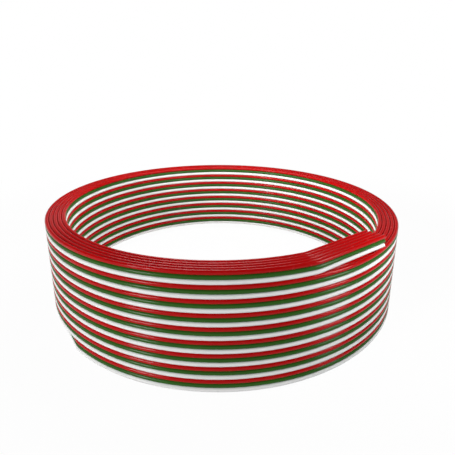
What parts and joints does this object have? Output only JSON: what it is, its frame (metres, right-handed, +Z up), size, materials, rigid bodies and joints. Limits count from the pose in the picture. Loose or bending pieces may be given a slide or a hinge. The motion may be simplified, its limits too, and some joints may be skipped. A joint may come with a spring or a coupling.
{
  "type": "coil of ribbon cable",
  "caption": "Round coil of flat ribbon cable with bonded red, green and white cores, wound on edge in nested layers with the cut ends free, for extending the wiring of light strips.",
  "frame": {"origin": "on the coil's axis, at the height of the coil's lowest point, which stands on the ground", "axes": "+Z up along the coil's axis, -Y towards the viewer of the picture, the upper cut ends on the +X side of the front"},
  "size_m": [0.1654, 0.1654, 0.0473],
  "materials": {
    "red_insulation": "glossy",
    "green_insulation": "glossy",
    "white_insulation": "glossy",
    "copper_strands": "bright"
  },
  "bodies": {
    "root": {"red_sheath_1": "red_insulation", "red_sheath_2": "red_insulation", "red_sheath_3": "red_insulation", "red_sheath_4": "red_insulation", "red_sheath_5": "red_insulation", "green_sheath_1": "green_insulation", "green_sheath_2": "green_insulation", "green_sheath_3": "green_insulation", "green_sheath_4": "green_insulation", "green_sheath_5": "green_insulation", "white_sheath_1": "white_insulation", "white_sheath_2": "white_insulation", "white_sheath_3": "white_insulation", "white_sheath_4": "white_insulation", "white_sheath_5": "white_insulation", "red_strands_1": "copper_strands", "red_strands_2": "copper_strands", "red_strands_3": "copper_strands", "red_strands_4": "copper_strands", "red_strands_5": "copper_strands", "green_strands_1": "copper_strands", "green_strands_2": "copper_strands", "green_strands_3": "copper_strands", "green_strands_4": "copper_strands", "green_strands_5": "copper_strands", "white_strands_1": "copper_strands", "white_strands_2": "copper_strands", "white_strands_3": "copper_strands", "white_strands_4": "copper_strands", "white_strands_5": "copper_strands"}
  },
  "joints": []
}
